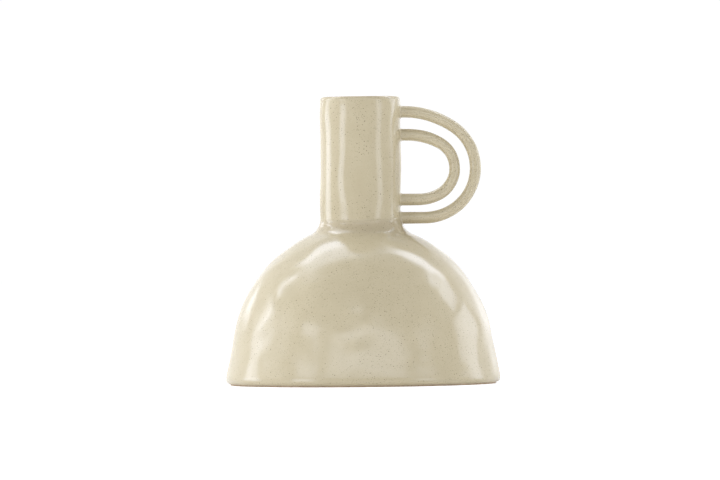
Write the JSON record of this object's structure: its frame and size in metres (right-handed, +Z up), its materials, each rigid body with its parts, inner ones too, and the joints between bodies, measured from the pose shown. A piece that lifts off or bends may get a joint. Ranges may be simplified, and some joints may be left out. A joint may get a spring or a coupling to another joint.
{
  "type": "handled bottle vase",
  "caption": "Wide domed stoneware vase with a straight neck and a handle of nested round clay loops.",
  "frame": {"origin": "on the ground at the centre of the foot, on the neck's axis", "axes": "+Z up out of the mouth, +X towards the handle, which lies in the plane y = 0"},
  "size_m": [0.2584, 0.2584, 0.27],
  "materials": {
    "speckled_glaze": "satin",
    "bare_clay": "matte"
  },
  "bodies": {
    "root": {"base_slab": "speckled_glaze", "foot_ring": "bare_clay", "body_dome": "speckled_glaze", "floor_seam_coil": "bare_clay", "neck_collar": "speckled_glaze", "neck_tube": "speckled_glaze", "outer_handle_loop": "speckled_glaze", "outer_handle_top_luting": "speckled_glaze", "outer_handle_bottom_luting": "speckled_glaze", "inner_handle_loop": "speckled_glaze", "inner_handle_top_luting": "speckled_glaze", "inner_handle_bottom_luting": "speckled_glaze"}
  },
  "joints": []
}
